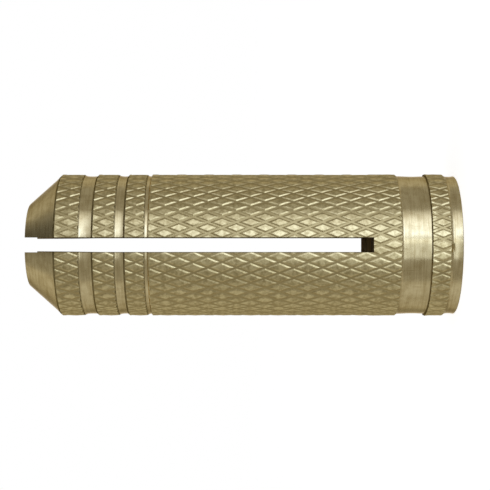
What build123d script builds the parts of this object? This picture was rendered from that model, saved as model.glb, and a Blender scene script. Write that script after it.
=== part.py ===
from build123d import *
import math
import os

# A slotted brass expansion anchor, turned from one bar, in millimetres.
# It stands on its mouth, the tapped end that stays flush with the wall. Heights run up from the mouth to
# the tapered tip, which goes into the hole first, and the origin is the centre of the mouth.

# Overall size
length = 29.9
knurl_radius = 5.0

# Lip at the mouth, slightly flared, and the neck between it and the knurled collar
lip_depth = 0.12
rim_chamfer = 0.05
neck_depth = 0.15
neck_height = 0.57

# Knurled collar, and the smooth band above it
collar_foot = 0.73
collar_height = 1.53
band_height = 1.85
band_depth = 0.13

# Turned grooves near the tip, the one nearest the tip first, and the knurled ring above each
groove_depth = 0.12
groove_heights = (0.79, 0.52, 0.225)
ring_heights = (1.73, 1.61, 1.475)

# Shoulder above the top ring, and the tapered tip
shoulder_height = 0.24
shoulder_depth = 0.35
taper_height = 1.99
tip_wall = 0.285

# Tapped mouth, and the narrower bore that the screw wedges open
thread_radius = 4.0
thread_pitch = 1.25
countersink_lip = 0.12
tapped_depth = 5.4
drill_point_angle = 118.0
bore_radius = 2.625
bore_chamfer = 0.05

# Two crossing saw cuts leave four legs on a solid ring
slot_width = 1.02
solid_ring_height = 6.05
cuts = 2
overcut = 1.0

# Diamond knurl: flat-topped pads between crossing V grooves. The share is how much of the pitch a pad takes,
# and the stock is what stands over the pads before they are rolled.
knurl_count = 36
knurl_pitch = 2.15
knurl_depth = 0.08
knurl_start = 0.37
pad_share = 0.54
knurl_stock = 0.02

# Heights and radii worked out from the sizes above
lip_radius = knurl_radius - lip_depth
neck_radius = knurl_radius - neck_depth
band_radius = knurl_radius - band_depth
groove_radius = knurl_radius - groove_depth
shoulder_radius = knurl_radius - shoulder_depth
stock_radius = knurl_radius + knurl_stock
tip_radius = bore_radius + tip_wall
minor_radius = thread_radius - thread_pitch * 5 / 8 * math.cos(math.radians(30))
countersink_radius = thread_radius + countersink_lip
collar_top = collar_foot + collar_height
band_top = collar_top + band_height
taper_foot = length - taper_height
top_ring_top = taper_foot - shoulder_height
step_height = (minor_radius - bore_radius) / math.tan(math.radians(drill_point_angle / 2))
knurl_root = knurl_radius - knurl_depth
half_column = math.pi / knurl_count
half_row = knurl_pitch / 2


def groove_points():
    """Outline of the grooves from the body up to the top ring, as radius and height."""
    points = []
    height = top_ring_top
    for ring, groove in zip(ring_heights, groove_heights):
        height -= ring
        points += [(stock_radius, height), (groove_radius, height)]
        height -= groove
        points += [(groove_radius, height), (stock_radius, height)]
    return points[::-1]


def outside_lines():
    """Outside of the turned blank, from the rim of the mouth up to the tip."""
    return Polyline(
        (lip_radius - rim_chamfer, 0),
        (lip_radius, rim_chamfer),
        (neck_radius, neck_height),
        (lip_radius, collar_foot),
        (stock_radius, collar_foot),
        (stock_radius, collar_top),
        (band_radius, collar_top),
        (band_radius, band_top),
        (stock_radius, band_top),
        *groove_points(),
        (stock_radius, top_ring_top),
        (groove_radius, top_ring_top),
        (shoulder_radius, taper_foot),
        (tip_radius, length),
    )


def inside_lines():
    """Bore and tapping-size hole, from the tip down to the rim of the mouth."""
    return Polyline(
        (tip_radius, length),
        (bore_radius + bore_chamfer, length),
        (bore_radius, length - bore_chamfer),
        (bore_radius, tapped_depth + step_height),
        (minor_radius, tapped_depth),
        (minor_radius, countersink_radius - minor_radius),
        (countersink_radius, 0),
        (lip_radius - rim_chamfer, 0),
    )


def turned_blank():
    """The bar as it leaves the lathe, before knurling and slotting."""
    half_section = make_face(outside_lines() + inside_lines())
    return revolve(Plane.XZ * half_section, Axis.Z)


def saw_cuts():
    """Blades that part the legs, crossing on the axis."""
    blade_height = length - solid_ring_height + overcut
    blade = Box(slot_width, 2 * (stock_radius + overcut), blade_height)
    blade = Pos(0, 0, solid_ring_height + blade_height / 2) * blade
    return [Rot(0, 0, turn * 180 / cuts) * blade for turn in range(cuts)]


def on_root(columns, rows):
    """Point at the bottom of a V groove, so many half columns and half rows from a pad's centre."""
    angle = columns * half_column
    return Vector(knurl_root * math.cos(angle), knurl_root * math.sin(angle), rows * half_row)


def knurl_pad():
    """One pad about +X: its flat top and the four flanks that fall to the V grooves, all plane."""
    above, below = on_root(0, 1), on_root(0, -1)
    left, right = on_root(1, 0), on_root(-1, 0)
    top_end = Vector(knurl_radius, 0, pad_share * half_row)
    low_end = Vector(knurl_radius, 0, -pad_share * half_row)
    slant = (left - above).cross(top_end - above)
    half_width = top_end.Z * slant.Z / slant.Y
    left_end = Vector(knurl_radius, half_width, 0)
    right_end = Vector(knurl_radius, -half_width, 0)
    outlines = [
        (top_end, left_end, low_end, right_end),
        (top_end, above, left, left_end),
        (left_end, left, below, low_end),
        (low_end, below, right, right_end),
        (right_end, right, above, top_end),
    ]
    return [Face(Wire.make_polygon(points)) for points in outlines]


def zigzag_cap(row, direction):
    """Closes the knurled bar past one end, from the zigzag of groove crossings to a point on the axis."""
    first = row % 2
    apex = Vector(0, 0, knurl_start + (row + 2 * direction) * half_row)
    crossings = []
    for column in range(2 * knurl_count):
        angle = (column + first) * half_column
        crossing_row = row + direction * (1 - column % 2)
        crossings.append(Vector(
            knurl_root * math.cos(angle), knurl_root * math.sin(angle), knurl_start + crossing_row * half_row
        ))
    pairs = zip(crossings, crossings[1:] + crossings[:1])
    return [Face(Wire.make_polygon((apex, *pair))) for pair in pairs]


def knurled_bar():
    """A bar with the diamond knurl all over it, longer than the anchor at both ends."""
    pad = knurl_pad()
    first_row = -math.ceil((knurl_start + overcut) / half_row) - 1
    last_row = math.ceil((length - knurl_start + overcut) / half_row) + 1
    faces = zigzag_cap(first_row, -1) + zigzag_cap(last_row, 1)
    for row in range(first_row, last_row + 1):
        for column in range(knurl_count):
            turn = math.degrees((2 * column + row % 2) * half_column)
            place = Pos(0, 0, knurl_start + row * half_row) * Rot(0, 0, turn)
            faces.extend(face.moved(place) for face in pad)
    return Solid(Shell(faces))


def anchor_sleeve():
    """The finished one-piece anchor."""
    return (turned_blank() - saw_cuts()) & knurled_bar()


os.makedirs("parts", exist_ok=True)
export_step(anchor_sleeve(), "parts/anchor_sleeve.step")
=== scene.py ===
import math
from collections import namedtuple

import bmesh
import bpy
from mathutils import Matrix, Vector


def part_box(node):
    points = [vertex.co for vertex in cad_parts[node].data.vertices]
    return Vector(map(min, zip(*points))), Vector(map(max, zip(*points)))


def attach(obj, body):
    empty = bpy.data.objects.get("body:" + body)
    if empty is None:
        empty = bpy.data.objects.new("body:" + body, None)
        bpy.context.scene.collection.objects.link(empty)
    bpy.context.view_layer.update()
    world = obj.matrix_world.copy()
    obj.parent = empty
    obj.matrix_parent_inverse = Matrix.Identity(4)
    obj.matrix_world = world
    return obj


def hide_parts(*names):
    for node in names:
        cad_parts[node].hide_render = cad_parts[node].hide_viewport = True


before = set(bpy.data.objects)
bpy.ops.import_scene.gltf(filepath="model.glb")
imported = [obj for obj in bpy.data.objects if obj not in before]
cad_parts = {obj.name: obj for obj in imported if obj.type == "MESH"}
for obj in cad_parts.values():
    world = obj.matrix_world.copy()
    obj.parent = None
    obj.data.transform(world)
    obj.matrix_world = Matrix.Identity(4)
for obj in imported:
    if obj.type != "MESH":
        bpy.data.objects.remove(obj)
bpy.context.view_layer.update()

# Lengths below are millimetres until the meshes are scaled into the frame, which is in metres.
MM = 0.001
LOW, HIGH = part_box("anchor_sleeve")
LENGTH = (HIGH[2] - LOW[2]) / MM

# Turned outside: the pads stand to PAD_RADIUS, and the grooves near the tip are turned down to GROOVE_RADIUS
PAD_RADIUS = 5.0
GROOVE_RADIUS = 4.884
TURNED_SEGMENTS = 240

# Lip at the mouth, and the hollow neck and band: the radius is the waist radius plus the curve times the
# square of the height over the waist. The grooves sag in by GROOVE_SAG at their middles.
LIP_RADIUS = 4.874
LIP_EDGE = 0.04
NECK = dict(waist_height=0.38, waist_radius=4.841, curve=0.29)
BAND = dict(waist_height=2.94, waist_radius=4.85, curve=0.04)
GROOVE_SAG = 0.016
HOLLOW_STEPS = 8

# Tapered tip
SHOULDER_RADIUS = 4.653
SHOULDER_TOP = LENGTH - 1.986
TIP_RADIUS = 2.91
TIP_ROUNDING = 0.1
ROUNDING_STEPS = 8
CONE_TILT = math.atan2(SHOULDER_RADIUS - TIP_RADIUS, LENGTH - SHOULDER_TOP)

# Bore, drill-point step, M8 thread and countersink. The thread's flats and flanks are shares of its pitch,
# and it fades out between the two run-out heights.
BORE_RADIUS = 2.625
BORE_CHAMFER = 0.05
THREAD_PITCH = 1.25
MAJOR_RADIUS = 4.0
THREAD_DEPTH = THREAD_PITCH * 5 / 8 * math.cos(math.radians(30))
MINOR_RADIUS = MAJOR_RADIUS - THREAD_DEPTH
HALF_ROOT = 1 / 16
FLANK = 5 / 16
TAPPED_DEPTH = 5.4
DRILL_POINT_ANGLE = math.radians(118)
STEP_HEIGHT = (MINOR_RADIUS - BORE_RADIUS) / math.tan(DRILL_POINT_ANGLE / 2)
COUNTERSINK_RADIUS = 4.12
COUNTERSINK_CUTS = 8
THREAD_SEGMENTS = 144
RUNOUT_START = 4.5
RUNOUT_END = 5.25

# Saw cuts. The far slot is pinched from PINCH_FOOT up, by so much a side at the top of the blade.
SLOT_WIDTH = 1.02
SLOT_FOOT = 6.05
OVERCUT = 1.0
PINCH_FOOT = 25.5
PINCH = 0.074

# Diamond knurl: the shares are of the way from the middle of a pad to the bottom of a groove. The pad's flat
# ends in a rounded edge that drops by EDGE_DROP, and the pads lean a little.
KNURL_COUNT = 40
KNURL_PITCH = 1.938
KNURL_DEPTH = 0.047
PAD_SHARE = 0.54
BOTTOM_SHARE = 0.16
EDGE_SHARE = 0.08
EDGE_DROP = 0.007
PAD_LEAN = math.tan(math.radians(2.5))
HALF_COLUMN = math.pi / KNURL_COUNT
HALF_ROW = KNURL_PITCH / 2
KNURL_ROOT = PAD_RADIUS - KNURL_DEPTH

# Each knurled stretch: its foot with a round-nosed slope, its top with a steep wall, the height of one pad,
# the radius that its ends are turned down to, and the burr that stands over its top edge
Stretch = namedtuple(
    "Stretch", "foot foot_slope top wall pad_height floor burr", defaults=(GROOVE_RADIUS, 0.0)
)
COLLAR = Stretch(foot=0.605, foot_slope=0.26, top=2.14, wall=0.08, pad_height=1.39, floor=4.86, burr=0.02)
BODY = Stretch(foot=3.975, foot_slope=0.22, top=21.315, wall=0.09, pad_height=0.78)
RING_3 = Stretch(foot=21.35, foot_slope=0.25, top=22.95, wall=0.13, pad_height=22.1)
RING_2 = Stretch(foot=23.33, foot_slope=0.29, top=25.117, wall=0.13, pad_height=24.15)
RING_1 = Stretch(foot=25.78, foot_slope=0.26, top=27.69, wall=0.13, pad_height=26.66)
RINGS = (RING_3, RING_2, RING_1)
STRETCHES = (COLLAR, BODY, *RINGS)
SLOPE_CUTS = 8
WALL_CUTS = 2
BURR_WIDTH = 0.15

# The two end loops of a stretch, once it is in the sleeve's mesh
Rims = namedtuple("Rims", "foot top")

# Nick in the foot of the collar, on the side that faces the camera
NICK_HEIGHT = 0.69
NICK_ANGLE = math.radians(267.5)
NICK_HALF_HEIGHT = 0.1
NICK_HALF_ANGLE = math.radians(3.8)
NICK_DEPTH = 0.08

# Finishes, in the order of the sleeve's materials. What tells them apart: how far a face of the bore tilts
# inwards, how far under the slope at its foot a stretch counts as knurled, and the share of a ring's slope
# above which it takes the walls' dark brown, which is painted shade.
TURNED, KNURLED, WALL, BORE, SAWN = range(5)
INWARD_TILT = 0.3
SLOPE_MARGIN = 0.005
SHADED_SLOPE_SHARE = 0.6

# The angle from which an edge is shaded sharp, and the distance within which two places are the same
SHARP_ANGLE = math.radians(9)
TINY = 1e-5


def on_axis_circle(angle, radius, height):
    """Point at a polar angle, radius and height."""
    return Vector((radius * math.cos(angle), radius * math.sin(angle), height))


def polar(point):
    """Polar angle of a point, from 0 to a full turn."""
    return math.atan2(point.y, point.x) % math.tau


def groove_profile(share):
    """Height over the groove bottom, at a share of the way from a groove to the middle of a pad."""
    edge_start = 1 - PAD_SHARE - EDGE_SHARE
    if share < edge_start:
        climb = max(0.0, share - BOTTOM_SHARE) / (edge_start - BOTTOM_SHARE)
        return climb * (KNURL_DEPTH - EDGE_DROP)
    if share < edge_start + EDGE_SHARE:
        return KNURL_DEPTH - EDGE_DROP * (1 - (share - edge_start) / EDGE_SHARE)
    return KNURL_DEPTH


def hump(distance):
    """A rounded hump, one high in the middle and gone at a distance of one."""
    return max(0.0, 1 - distance ** 2)


def nick(angle, height):
    """Depth of the nick in the collar."""
    reach_up = (height - NICK_HEIGHT) / NICK_HALF_HEIGHT
    reach_round = (angle - NICK_ANGLE) / NICK_HALF_ANGLE
    return NICK_DEPTH * hump(reach_up) * hump(reach_round)


def turned_slope(height, zone):
    """Radius of the round-nosed slope at the foot of a knurled stretch."""
    share = max(0.0, (height - zone.foot) / zone.foot_slope)
    return zone.floor + (PAD_RADIUS - zone.floor) * share ** 2


def knurl_surface(angle, height, zone):
    """Radius of a knurled stretch, with its pads, the slope at its foot and the wall at its top."""
    # Across and along run from -1 to 1 over each pad, from one groove to the next of either set
    column = angle / HALF_COLUMN
    row = (height - zone.pad_height) / HALF_ROW
    across = (column + row + 1) % 2 - 1
    along = (column - row + 1) % 2 - 1
    lift = min(groove_profile(1 - abs(across)), groove_profile(1 - abs(along)))
    lean = PAD_LEAN * (across + along) / 2 * HALF_COLUMN * PAD_RADIUS
    radius = KNURL_ROOT + lift - lean * lift / KNURL_DEPTH
    rise = PAD_RADIUS - zone.floor
    wall_limit = zone.floor + (rise + zone.burr) * (zone.top - height) / zone.wall
    below_edge = max(0.0, zone.top - zone.wall - height)
    raised = zone.burr * max(0.0, 1 - below_edge / BURR_WIDTH)
    turned = min(radius + raised, turned_slope(height, zone), wall_limit)
    return max(zone.floor, turned) - nick(angle, height)


def pad_lines():
    """Places of the mesh lines over one pad, from the foot of one flank to the foot of the other."""
    foot = 1 - BOTTOM_SHARE
    edge = PAD_SHARE + EDGE_SHARE
    return (-foot, -edge, -PAD_SHARE, PAD_SHARE, edge, foot)


def knurled_stretch(zone):
    """Mesh of one knurled stretch, with mesh lines along both sets of grooves."""
    bm = bmesh.new()
    lines = pad_lines()
    steps = len(lines)
    turn_steps = steps * KNURL_COUNT
    pad_step = lines.index(-PAD_SHARE)
    verts = {}

    def place(line):
        """Where a mesh line lies, counted in half pads."""
        cell, step = divmod(line, steps)
        return 2 * cell + lines[step]

    def corner(a, b):
        """Vertex where two mesh lines cross, the same one after a full turn."""
        turns = (a + b) // (2 * turn_steps)
        key = (a - turns * turn_steps, b - turns * turn_steps)
        if key not in verts:
            across = place(a)
            along = place(b)
            angle = (across + along) / 2 * HALF_COLUMN
            height = zone.pad_height + (across - along) / 2 * HALF_ROW
            verts[key] = bm.verts.new(on_axis_circle(angle, PAD_RADIUS, height))
        return verts[key]

    first_row = math.floor((zone.foot - zone.pad_height) / HALF_ROW) - 1
    last_row = math.ceil((zone.top - zone.pad_height) / HALF_ROW) + 1
    for row in range(first_row, last_row + 1):
        for column in range(KNURL_COUNT):
            cell_a = (2 * column + row % 2 + row) // 2
            cell_b = cell_a - row
            for i in range(steps):
                for j in range(steps):
                    a = cell_a * steps + i
                    b = cell_b * steps + j
                    quad = [corner(a, b), corner(a + 1, b), corner(a + 1, b + 1), corner(a, b + 1)]
                    if (i - pad_step) * (j - pad_step) < 0 or i == j == pad_step:
                        quad = quad[1:] + quad[:1]
                    bm.faces.new((quad[0], quad[1], quad[2]))
                    bm.faces.new((quad[0], quad[2], quad[3]))
    trim(bm, zone.foot, zone.top)
    for cut in range(1, SLOPE_CUTS + 1):
        level(bm, zone.foot + zone.foot_slope * cut / SLOPE_CUTS)
    for cut in range(1, WALL_CUTS + 1):
        level(bm, zone.top - zone.wall * cut / WALL_CUTS)
    for vert in bm.verts:
        angle = polar(vert.co)
        radius = knurl_surface(angle, vert.co.z, zone)
        vert.co = on_axis_circle(angle, radius, vert.co.z)
    return bm


def everything(bm):
    """All geometry of a mesh, as its operators take it."""
    return bm.verts[:] + bm.edges[:] + bm.faces[:]


def trim(bm, foot, top):
    """Cuts a mesh off square below foot and above top."""
    bmesh.ops.bisect_plane(
        bm, geom=everything(bm), dist=TINY, plane_co=(0, 0, foot), plane_no=(0, 0, 1), clear_inner=True
    )
    bmesh.ops.bisect_plane(
        bm, geom=everything(bm), dist=TINY, plane_co=(0, 0, top), plane_no=(0, 0, 1), clear_outer=True
    )


def level(bm, height):
    """Adds mesh lines at one height."""
    bmesh.ops.bisect_plane(bm, geom=everything(bm), dist=TINY, plane_co=(0, 0, height), plane_no=(0, 0, 1))


def thread_surface(angle, height):
    """Radius of the tapped mouth: thread, countersink and the thread's run-out."""
    turn = (height / THREAD_PITCH - angle / math.tau) % 1
    share = (HALF_ROOT + FLANK - abs(turn - 0.5)) / FLANK
    fade = (RUNOUT_END - height) / (RUNOUT_END - RUNOUT_START)
    cut = min(1.0, max(0.0, share)) * min(1.0, max(0.0, fade))
    radius = MINOR_RADIUS + THREAD_DEPTH * cut
    return max(radius, COUNTERSINK_RADIUS - height)


def tapped_stretch():
    """Mesh of the tapped mouth, with mesh lines along the thread."""
    bm = bmesh.new()
    shares = (0.5 - HALF_ROOT - FLANK, 0.5 - HALF_ROOT, 0.5 + HALF_ROOT, 0.5 + HALF_ROOT + FLANK)
    verts = {}

    def corner(segment, line):
        """Vertex on a mesh line, which comes back one turn of the thread higher."""
        if segment == THREAD_SEGMENTS:
            segment = 0
            line += len(shares)
        if (segment, line) not in verts:
            angle = math.tau * segment / THREAD_SEGMENTS
            turn, share = divmod(line, len(shares))
            height = THREAD_PITCH * (turn + shares[share] + segment / THREAD_SEGMENTS)
            verts[segment, line] = bm.verts.new(on_axis_circle(angle, MAJOR_RADIUS, height))
        return verts[segment, line]

    turns_below = 2
    turns_above = math.ceil(TAPPED_DEPTH / THREAD_PITCH) + 1
    for line in range(-turns_below * len(shares), turns_above * len(shares)):
        for segment in range(THREAD_SEGMENTS):
            bm.faces.new((
                corner(segment, line),
                corner(segment + 1, line),
                corner(segment + 1, line + 1),
                corner(segment, line + 1),
            ))
    trim(bm, 0, TAPPED_DEPTH)
    countersink_depth = COUNTERSINK_RADIUS - MINOR_RADIUS
    for cut in range(1, COUNTERSINK_CUTS + 1):
        level(bm, countersink_depth * cut / COUNTERSINK_CUTS)
    level(bm, RUNOUT_START)
    level(bm, RUNOUT_END)
    for vert in bm.verts:
        angle = polar(vert.co)
        vert.co = on_axis_circle(angle, thread_surface(angle, vert.co.z), vert.co.z)
    return bm


def add_stretch(bm, stretch):
    """Copies a stretch into the mesh and returns its two end loops, sorted by polar angle."""
    copies = {vert: bm.verts.new(vert.co) for vert in stretch.verts}
    for face in stretch.faces:
        bm.faces.new([copies[vert] for vert in face.verts])
    rim = [copies[vert] for vert in stretch.verts if vert.is_boundary]
    middle = sum(vert.co.z for vert in rim) / len(rim)
    foot = sorted((vert for vert in rim if vert.co.z < middle), key=lambda vert: polar(vert.co))
    top = sorted((vert for vert in rim if vert.co.z >= middle), key=lambda vert: polar(vert.co))
    stretch.free()
    return Rims(foot, top)


def circle(bm, radius, height):
    """A ring of vertices round the axis."""
    angles = [math.tau * segment / TURNED_SEGMENTS for segment in range(TURNED_SEGMENTS)]
    return [bm.verts.new(on_axis_circle(angle, radius, height)) for angle in angles]


def join(bm, lower, upper):
    """Faces between two rings round the axis that may have different numbers of vertices."""
    aligned = all(abs(polar(low.co) - polar(high.co)) < TINY for low, high in zip(lower, upper))
    if len(lower) == len(upper) and aligned:
        for i in range(len(lower)):
            j = (i + 1) % len(lower)
            bm.faces.new((lower[i], lower[j], upper[j], upper[i]))
        return
    low_angles = [polar(vert.co) for vert in lower] + [polar(lower[0].co) + math.tau]
    high_angles = [polar(vert.co) for vert in upper] + [polar(upper[0].co) + math.tau]
    i = j = 0
    while i < len(lower) or j < len(upper):
        low_vert = lower[i % len(lower)]
        high_vert = upper[j % len(upper)]
        step_low = j == len(upper) or (i < len(lower) and low_angles[i + 1] < high_angles[j + 1])
        if step_low:
            i += 1
            bm.faces.new((low_vert, lower[i % len(lower)], high_vert))
        else:
            j += 1
            bm.faces.new((low_vert, upper[j % len(upper)], high_vert))


def join_through(bm, rings):
    """Faces through a chain of rings."""
    for lower, upper in zip(rings, rings[1:]):
        join(bm, lower, upper)


def hollow_rings(bm, foot, top, waist_height, waist_radius, curve):
    """Rings of a hollow turned stretch, between its foot and top."""
    rings = []
    for step in range(1, HOLLOW_STEPS):
        height = foot + (top - foot) * step / HOLLOW_STEPS
        rings.append(circle(bm, waist_radius + curve * (height - waist_height) ** 2, height))
    return rings


def groove_rings(bm, lower, upper):
    """Rings of the turned groove between two knurled stretches."""
    half_width = (upper.foot - lower.top) / 2
    return hollow_rings(
        bm,
        lower.top,
        upper.foot,
        waist_height=lower.top + half_width,
        waist_radius=GROOVE_RADIUS - GROOVE_SAG,
        curve=GROOVE_SAG / half_width ** 2,
    )


def tip_rings(bm):
    """Rings from the shoulder over the cone and its rounded corner into the bore."""
    rings = [circle(bm, SHOULDER_RADIUS, SHOULDER_TOP)]
    centre_height = LENGTH - TIP_ROUNDING
    cone_run = (TIP_ROUNDING + (centre_height - SHOULDER_TOP) * math.sin(CONE_TILT)) / math.cos(CONE_TILT)
    centre_radius = SHOULDER_RADIUS - cone_run
    for step in range(ROUNDING_STEPS + 1):
        tilt = CONE_TILT + (math.pi / 2 - CONE_TILT) * step / ROUNDING_STEPS
        radius = centre_radius + TIP_ROUNDING * math.cos(tilt)
        rings.append(circle(bm, radius, centre_height + TIP_ROUNDING * math.sin(tilt)))
    rings.append(circle(bm, BORE_RADIUS + BORE_CHAMFER, LENGTH))
    rings.append(circle(bm, BORE_RADIUS, LENGTH - BORE_CHAMFER))
    rings.append(circle(bm, BORE_RADIUS, TAPPED_DEPTH + STEP_HEIGHT))
    return rings


def finish_of(face):
    """Which finish a face has before the sleeve is slotted."""
    middle = face.calc_center_median()
    radius = math.hypot(middle.x, middle.y)
    outward = (face.normal.x * middle.x + face.normal.y * middle.y) / radius
    if outward < -INWARD_TILT:
        return BORE
    for zone in STRETCHES:
        if zone.foot < middle.z < zone.top:
            # The walls, and further down the tops of the rings' slopes, get the dark brown that is painted
            # shade
            if middle.z > zone.top - zone.wall:
                return TURNED if zone == BODY else WALL
            if radius < turned_slope(middle.z, zone) - SLOPE_MARGIN:
                return KNURLED
            slope_share = (middle.z - zone.foot) / zone.foot_slope
            return WALL if zone in RINGS and slope_share > SHADED_SLOPE_SHARE else TURNED
    return TURNED


def turned_and_knurled():
    """The sleeve before it is slotted, as one closed mesh."""
    bm = bmesh.new()
    collar, body, ring_3, ring_2, ring_1 = [add_stretch(bm, knurled_stretch(zone)) for zone in STRETCHES]
    tap = add_stretch(bm, tapped_stretch())
    lip = [circle(bm, LIP_RADIUS - LIP_EDGE, 0), circle(bm, LIP_RADIUS, LIP_EDGE)]
    join_through(bm, [tap.foot, *lip, *hollow_rings(bm, LIP_EDGE, COLLAR.foot, **NECK), collar.foot])
    join_through(bm, [collar.top, *hollow_rings(bm, COLLAR.top, BODY.foot, **BAND), body.foot])
    join(bm, body.top, ring_3.foot)
    join_through(bm, [ring_3.top, *groove_rings(bm, RING_3, RING_2), ring_2.foot])
    join_through(bm, [ring_2.top, *groove_rings(bm, RING_2, RING_1), ring_1.foot])
    join_through(bm, [ring_1.top, *tip_rings(bm), tap.top])
    bmesh.ops.recalc_face_normals(bm, faces=bm.faces[:])
    for face in bm.faces:
        face.material_index = finish_of(face)
    return bm


def mesh_object(name, bm, materials):
    """An object from a mesh in millimetres, scaled into the frame."""
    bmesh.ops.scale(bm, vec=(MM, MM, MM), verts=bm.verts[:])
    mesh = bpy.data.meshes.new(name)
    bm.to_mesh(mesh)
    bm.free()
    for material in materials:
        mesh.materials.append(material)
    obj = bpy.data.objects.new(name, mesh)
    bpy.context.scene.collection.objects.link(obj)
    return obj


def saw_blade(materials):
    """The crossing saw cuts as one plus-shaped bar, a little narrower at the far slot's open end."""
    bm = bmesh.new()
    half = SLOT_WIDTH / 2
    reach = PAD_RADIUS + OVERCUT
    outline = []
    for quarter in range(4):
        turn = Matrix.Rotation(quarter * math.pi / 2, 3, "Z")
        for x, y in ((reach, -half), (reach, half), (half, half)):
            outline.append(turn @ Vector((x, y, SLOT_FOOT)))
    foot = bm.faces.new([bm.verts.new(point) for point in outline])
    raised = bmesh.ops.extrude_face_region(bm, geom=[foot])["geom"]
    lifted = [item for item in raised if isinstance(item, bmesh.types.BMVert)]
    bmesh.ops.translate(bm, verts=lifted, vec=(0, 0, LENGTH + OVERCUT - SLOT_FOOT))
    level(bm, PINCH_FOOT)
    for vert in bm.verts:
        on_far_arm = vert.co.y > half - TINY and abs(vert.co.x) < half + TINY
        if on_far_arm and vert.co.z > PINCH_FOOT + TINY:
            vert.co.x = math.copysign(half - PINCH, vert.co.x)
    bmesh.ops.recalc_face_normals(bm, faces=bm.faces[:])
    for face in bm.faces:
        face.material_index = SAWN
    return mesh_object("blade", bm, materials)


def cut_away(obj, tool):
    """Takes the tool's volume out of the object and removes the tool."""
    cut = obj.modifiers.new("saw cuts", "BOOLEAN")
    cut.operation = "DIFFERENCE"
    cut.solver = "EXACT"
    cut.object = tool
    evaluated = obj.evaluated_get(bpy.context.evaluated_depsgraph_get())
    mesh = bpy.data.meshes.new_from_object(evaluated)
    obj.modifiers.clear()
    old = obj.data
    obj.data = mesh
    mesh.name = old.name
    bpy.data.meshes.remove(old)
    bpy.data.objects.remove(tool)


def anchor():
    """The finished sleeve."""
    materials = [turned_brass(), knurled_brass(), wall_brass(), bore_brass(), sawn_brass()]
    obj = mesh_object("knurled_sleeve", turned_and_knurled(), materials)
    cut_away(obj, saw_blade(materials))
    obj.data.shade_smooth()
    obj.data.set_sharp_from_angle(angle=SHARP_ANGLE)
    return obj


def link(tree, start, end):
    """Joins two sockets of a node tree."""
    tree.links.new(start, end)


def ranged(tree, value, low, high, to_low, to_high):
    """A value mapped from one range to another, held at the ends."""
    node = tree.nodes.new("ShaderNodeMapRange")
    node.inputs["From Min"].default_value = low
    node.inputs["From Max"].default_value = high
    node.inputs["To Min"].default_value = to_low
    node.inputs["To Max"].default_value = to_high
    link(tree, value, node.inputs["Value"])
    return node.outputs[0]


def combined(tree, operation, first, second):
    """Two values put together by a named operation."""
    node = tree.nodes.new("ShaderNodeMath")
    node.operation = operation
    link(tree, first, node.inputs[0])
    link(tree, second, node.inputs[1])
    return node.outputs[0]


def grain(tree, per_metre, detail):
    """Noise fixed to the object, with so many grains per metre along x, y and z."""
    place = tree.nodes.new("ShaderNodeTexCoord")
    spread = tree.nodes.new("ShaderNodeMapping")
    spread.inputs["Scale"].default_value = per_metre
    noise = tree.nodes.new("ShaderNodeTexNoise")
    noise.inputs["Scale"].default_value = 1
    noise.inputs["Detail"].default_value = detail
    noise.inputs["Roughness"].default_value = 0.6
    link(tree, place.outputs["Object"], spread.inputs["Vector"])
    link(tree, spread.outputs["Vector"], noise.inputs["Vector"])
    return noise.outputs["Fac"]


def axis_distance(tree):
    """Distance from the sleeve's axis, in metres."""
    place = tree.nodes.new("ShaderNodeTexCoord")
    flat = tree.nodes.new("ShaderNodeMapping")
    flat.inputs["Scale"].default_value = (1, 1, 0)
    length = tree.nodes.new("ShaderNodeVectorMath")
    length.operation = "LENGTH"
    link(tree, place.outputs["Object"], flat.inputs["Vector"])
    link(tree, flat.outputs["Vector"], length.inputs[0])
    return length.outputs["Value"]


def tinted(tree, value, low, high, dark, light):
    """A colour that runs from dark to light as a value runs from low to high."""
    ramp = tree.nodes.new("ShaderNodeValToRGB")
    start, end = ramp.color_ramp.elements
    start.position = low
    start.color = (*dark, 1)
    end.position = high
    end.color = (*light, 1)
    link(tree, value, ramp.inputs["Fac"])
    return ramp.outputs["Color"]


# Tints of the shine where a surface is seen edge on, so that it stays golden there
KNURLED_EDGE = (0.93, 0.82, 0.6, 1)
TURNED_EDGE = (0.75, 0.65, 0.47, 1)

# Finish of the knurl by height: painted shade in the groove bottoms fades from the first height to the
# second, dust from the first to the third, and wear sets in from WEAR_FOOT to WEAR_TOP under the tops of the
# pads
SHADE_AND_DUST_FOOT = 0.002
GROOVE_SHADE_TOP = 0.02
DUST_TOP = 0.015
WEAR_FOOT = 0.02
WEAR_TOP = 0.008

# How far the dull brass's roughness varies either way, and how much of the sawn walls shines as clean metal
# does; the rest is matt
DULL_SPREAD = 0.08
SAWN_SHINE = 0.3


def new_metal(name):
    """A metal material, its node tree and its shader."""
    material = bpy.data.materials.new(name)
    material.use_nodes = True
    shader = material.node_tree.nodes["Principled BSDF"]
    shader.inputs["Metallic"].default_value = 1
    return material, material.node_tree, shader


def add_bump(tree, shader, height, distance):
    """Fine relief from a value, so many metres high."""
    bump = tree.nodes.new("ShaderNodeBump")
    bump.inputs["Distance"].default_value = distance
    link(tree, height, bump.inputs["Height"])
    link(tree, bump.outputs["Normal"], shader.inputs["Normal"])


def draw_out_shine(tree, shader, amount):
    """Draws the shine out across the turning marks, which run round the axis."""
    around = tree.nodes.new("ShaderNodeTangent")
    around.direction_type = "RADIAL"
    around.axis = "Z"
    link(tree, around.outputs[0], shader.inputs["Tangent"])
    shader.inputs["Anisotropic"].default_value = amount
    shader.inputs["Anisotropic Rotation"].default_value = 0.25


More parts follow.
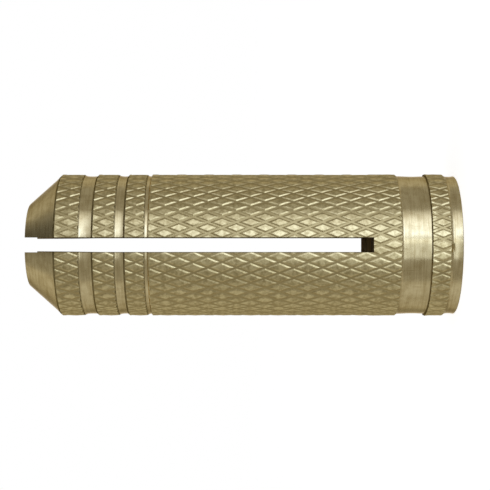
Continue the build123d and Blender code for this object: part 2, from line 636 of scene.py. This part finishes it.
def turned_brass():
    """Bright brass with fine turning marks, a few brown clouds and fine scratches along the axis."""
    material, tree, shader = new_metal("brass_turned")
    marks = grain(tree, per_metre=(500, 500, 9000), detail=4)
    clouds = grain(tree, per_metre=(1500, 1500, 1500), detail=4)
    lengthwise = grain(tree, per_metre=(6000, 6000, 250), detail=2)
    scratches = ranged(tree, lengthwise, low=0.3, high=0.34, to_low=0.12, to_high=0.5)
    tone = combined(tree, "MINIMUM", combined(tree, "MULTIPLY", marks, clouds), scratches)
    color = tinted(tree, tone, low=0.12, high=0.32, dark=(0.55, 0.42, 0.19), light=(0.77, 0.625, 0.325))
    link(tree, color, shader.inputs["Base Color"])
    shader.inputs["Specular Tint"].default_value = TURNED_EDGE
    roughness = ranged(tree, clouds, low=0.3, high=0.7, to_low=0.285, to_high=0.245)
    link(tree, roughness, shader.inputs["Roughness"])
    draw_out_shine(tree, shader, amount=0.8)
    add_bump(tree, shader, marks, distance=1e-6)
    return material


def knurled_brass():
    """Finely mottled brass, smoothest on the worn pads, with painted shade and a little dust in the grooves.
    """
    material, tree, shader = new_metal("brass_knurled")
    mottle = grain(tree, per_metre=(3500, 3500, 3500), detail=4)
    distance = axis_distance(tree)
    shade_and_dust_foot = (KNURL_ROOT + SHADE_AND_DUST_FOOT) * MM
    groove_shade_top = (KNURL_ROOT + GROOVE_SHADE_TOP) * MM
    dust_top = (KNURL_ROOT + DUST_TOP) * MM
    wear_foot = (PAD_RADIUS - WEAR_FOOT) * MM
    wear_top = (PAD_RADIUS - WEAR_TOP) * MM
    # Painted shade: the colour darkens towards the bottoms of the grooves
    painted_groove_shade = ranged(tree, distance, low=shade_and_dust_foot, high=groove_shade_top, to_low=0.35, to_high=0.7)
    tone = combined(tree, "MINIMUM", mottle, painted_groove_shade)
    color = tinted(tree, tone, low=0.35, high=0.6, dark=(0.48, 0.37, 0.16), light=(0.76, 0.62, 0.3))
    link(tree, color, shader.inputs["Base Color"])
    shader.inputs["Specular Tint"].default_value = KNURLED_EDGE
    worn = ranged(tree, distance, low=wear_foot, high=wear_top, to_low=0.36, to_high=0.33)
    dusty = ranged(tree, distance, low=shade_and_dust_foot, high=dust_top, to_low=0.42, to_high=0.33)
    link(tree, combined(tree, "MAXIMUM", worn, dusty), shader.inputs["Roughness"])
    add_bump(tree, shader, mottle, distance=8e-6)
    return material


def dull_brass(name, dark, light, roughness, per_metre, relief):
    """Rough brass that is darker than the outside."""
    material, tree, shader = new_metal(name)
    marks = grain(tree, per_metre, detail=3)
    color = tinted(tree, marks, low=0.3, high=0.7, dark=dark, light=light)
    link(tree, color, shader.inputs["Base Color"])
    rough = roughness + DULL_SPREAD
    smooth = roughness - DULL_SPREAD
    varied = ranged(tree, marks, low=0.3, high=0.7, to_low=rough, to_high=smooth)
    link(tree, varied, shader.inputs["Roughness"])
    # The edge-on shine takes the dark colour too; on the walls and in the slots, both are painted shade
    shader.inputs["Specular Tint"].default_value = (*dark, 1)
    add_bump(tree, shader, marks, distance=relief)
    return material


def wall_brass():
    """The steep walls that face the tip, and the tops of the rings' slopes, in a dark brown that is painted
    shade.
    """
    return dull_brass(
        "brass_walls_painted_shade",
        dark=(0.23, 0.175, 0.07),
        light=(0.37, 0.285, 0.13),
        roughness=0.5,
        per_metre=(2000, 2000, 2000),
        relief=8e-6,
    )


def bore_brass():
    """The bore and the thread, with marks that run round the axis."""
    return dull_brass(
        "brass_bore",
        dark=(0.3, 0.22, 0.1),
        light=(0.46, 0.35, 0.17),
        roughness=0.45,
        per_metre=(400, 400, 6000),
        relief=8e-6,
    )


def sawn_brass():
    """The walls of the slots, with marks along the saw's travel, partly matt, darkened as painted shade."""
    # Painted shade: the dark colours stand in for the shade inside the narrow slots
    material = dull_brass(
        "brass_sawn_painted_shade",
        dark=(0.17, 0.12, 0.05),
        light=(0.32, 0.23, 0.1),
        roughness=0.5,
        per_metre=(5000, 5000, 600),
        relief=4e-5,
    )
    shader = material.node_tree.nodes["Principled BSDF"]
    shader.inputs["Metallic"].default_value = SAWN_SHINE
    shader.inputs["Specular IOR Level"].default_value = 0
    return material


# Camera: about 92 mm from the axis, level with the middle of the picture, a little round from the slot
# towards the picture's lower side, and turned so that the tip is at the left
CAMERA_TURN = math.radians(-0.12)
CAMERA_DISTANCE = 0.0923
CAMERA_HEIGHT = 0.01473
CAMERA_LENS = 95.5
SENSOR_WIDTH = 36
NEAREST_SEEN = 0.001


def add_camera():
    """The photograph's camera."""
    data = bpy.data.cameras.new("camera")
    data.lens = CAMERA_LENS
    data.sensor_width = SENSOR_WIDTH
    data.clip_start = NEAREST_SEEN
    camera = bpy.data.objects.new("camera", data)
    right, up, back = Vector((0, 0, -1)), Vector((1, 0, 0)), Vector((0, -1, 0))
    turn = Matrix((right, up, back)).transposed().to_4x4()
    place = Matrix.Translation((0, -CAMERA_DISTANCE, CAMERA_HEIGHT))
    camera.matrix_world = Matrix.Rotation(CAMERA_TURN, 4, "Z") @ place @ turn
    bpy.context.scene.collection.objects.link(camera)
    bpy.context.scene.camera = camera


# Studio: the room's level, its dark patch over the tip with its direction and how far round it reaches, and
# the white backdrop behind the anchor, by how straight back the metal looks
ROOM_LEVEL = 0.33
PATCH_TOWARDS = (0.19, -0.1, 0.96)
PATCH_HEART = 0.16
PATCH_EDGE = 0.5
BACKDROP_EDGE = 0.82
BACKDROP_FULL = 0.98

# Floor, in metres where it is a length; its glow makes it white to the camera
FLOOR_REACH = 2.0
FLOOR_SEGMENTS = 96
FLOOR_COLOR = (0.9, 0.9, 0.9, 1)
FLOOR_ROUGHNESS = 0.9
FLOOR_GLOW = 0.73

# Lamps: angles in degrees as the anchor sees them, up and to the right of the camera. The key is brightest
# at its lower right, so it is built up of layers that share that corner, each wider and paler than the last.
LAMP_DISTANCE = 0.13
KEY_FOOT = 12.5
KEY_LOWEST_TOP = 27
KEY_HIGHEST_TOP = 56
KEY_INNER_LEFT = -1
KEY_OUTER_LEFT = -16
KEY_RIGHT = 48
KEY_LAYERS = 5
KEY_STRENGTH = 2.8
KEY_INNER_COLOR = (0.33, 0.5, 1.0)
KEY_OUTER_COLOR = (0.68, 0.76, 1.0)
FILL_COLOR = (0.61, 0.73, 1.0)
WALL_COLOR = (1.0, 1.0, 1.0)


def softbox(name, low, high, left, right, strength, color):
    """A rectangular lamp that faces the anchor, between two elevations and two sideways angles."""
    data = bpy.data.lights.new(name, "AREA")
    data.shape = "RECTANGLE"
    data.size = 2 * LAMP_DISTANCE * math.tan(math.radians(right - left) / 2)
    data.size_y = 2 * LAMP_DISTANCE * math.tan(math.radians(high - low) / 2)
    data.energy = strength * data.size * data.size_y * math.pi
    data.color = color
    lamp = bpy.data.objects.new(name, data)
    up = math.radians(low + high) / 2
    side = math.radians(left + right) / 2
    away = Vector((math.sin(up), -math.cos(up) * math.cos(side), -math.cos(up) * math.sin(side)))
    middle = Vector((0, 0, CAMERA_HEIGHT))
    rightward = Vector((0, 0, -1))
    rightward = (rightward - away * rightward.dot(away)).normalized()
    turn = Matrix((rightward, away.cross(rightward), away)).transposed().to_4x4()
    lamp.matrix_world = Matrix.Translation(middle + away * LAMP_DISTANCE) @ turn
    lamp.visible_camera = False
    bpy.context.scene.collection.objects.link(lamp)


def add_lamps():
    """Key above the camera, fill beside it with a brighter strip at its top, and dim light all round."""
    for layer in range(KEY_LAYERS):
        share = layer / (KEY_LAYERS - 1)
        top = KEY_LOWEST_TOP + (KEY_HIGHEST_TOP - KEY_LOWEST_TOP) * share
        left = KEY_INNER_LEFT + (KEY_OUTER_LEFT - KEY_INNER_LEFT) * share
        color = Vector(KEY_INNER_COLOR).lerp(Vector(KEY_OUTER_COLOR), share)
        softbox(f"key_{layer}", KEY_FOOT, top, left, KEY_RIGHT, KEY_STRENGTH / KEY_LAYERS, color)
    softbox("fill", low=-21, high=10.5, left=3, right=36, strength=1.15, color=FILL_COLOR)
    softbox("fill_top", low=3, high=10.5, left=-12, right=48, strength=1.1, color=FILL_COLOR)
    softbox("bounce", low=-88, high=-68, left=-40, right=40, strength=0.1, color=FILL_COLOR)
    softbox("low_wall", low=-132, high=-62, left=-66, right=66, strength=0.15, color=WALL_COLOR)
    softbox("tip_wall", low=-60, high=-15, left=-130, right=-95, strength=0.15, color=WALL_COLOR)
    softbox("high_wall", low=112, high=148, left=-60, right=60, strength=0.17, color=WALL_COLOR)


def add_world():
    """Room light, with white behind the anchor where the camera, metal or glass looks past it."""
    world = bpy.data.worlds.new("studio")
    bpy.context.scene.world = world
    world.use_nodes = True
    tree = world.node_tree
    background = tree.nodes["Background"]
    background.inputs["Color"].default_value = (1, 1, 1, 1)
    path = tree.nodes.new("ShaderNodeLightPath")
    direction = tree.nodes.new("ShaderNodeTexCoord")
    split = tree.nodes.new("ShaderNodeSeparateXYZ")
    link(tree, direction.outputs["Generated"], split.inputs[0])
    backdrop = ranged(
        tree, split.outputs["Y"], low=BACKDROP_EDGE, high=BACKDROP_FULL, to_low=0, to_high=1
    )
    mirrored = combined(tree, "MULTIPLY", path.outputs["Is Glossy Ray"], backdrop)
    seen = combined(tree, "MAXIMUM", path.outputs["Is Camera Ray"], path.outputs["Is Transmission Ray"])
    white = combined(tree, "MAXIMUM", seen, mirrored)
    apart = tree.nodes.new("ShaderNodeVectorMath")
    apart.operation = "DISTANCE"
    apart.inputs[1].default_value = PATCH_TOWARDS
    link(tree, direction.outputs["Generated"], apart.inputs[0])
    room = ranged(
        tree, apart.outputs["Value"], low=PATCH_HEART, high=PATCH_EDGE, to_low=0, to_high=ROOM_LEVEL
    )
    link(tree, combined(tree, "MAXIMUM", room, white), background.inputs["Strength"])


def add_floor():
    """A wide white floor that the anchor stands on and shades."""
    bm = bmesh.new()
    bmesh.ops.create_circle(bm, cap_ends=True, radius=FLOOR_REACH, segments=FLOOR_SEGMENTS)
    mesh = bpy.data.meshes.new("floor")
    bm.to_mesh(mesh)
    bm.free()
    floor = bpy.data.objects.new("floor", mesh)
    bpy.context.scene.collection.objects.link(floor)
    material = bpy.data.materials.new("floor_white")
    material.use_nodes = True
    tree = material.node_tree
    shader = tree.nodes["Principled BSDF"]
    shader.inputs["Base Color"].default_value = FLOOR_COLOR
    shader.inputs["Roughness"].default_value = FLOOR_ROUGHNESS
    shader.inputs["Emission Color"].default_value = (1, 1, 1, 1)
    path = tree.nodes.new("ShaderNodeLightPath")
    seen = combined(tree, "MAXIMUM", path.outputs["Is Camera Ray"], path.outputs["Is Transmission Ray"])
    glow = ranged(tree, seen, low=0, high=1, to_low=0, to_high=FLOOR_GLOW)
    link(tree, glow, shader.inputs["Emission Strength"])
    mesh.materials.append(material)
    # The softboxes are so near that they reach below the floor, which therefore doesn't shade or mirror them
    floor.visible_glossy = False
    floor.visible_shadow = False


sleeve = anchor()
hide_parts("anchor_sleeve")
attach(sleeve, "root")

add_camera()
add_floor()
add_world()
add_lamps()

bpy.context.scene.view_settings.view_transform = "Standard"
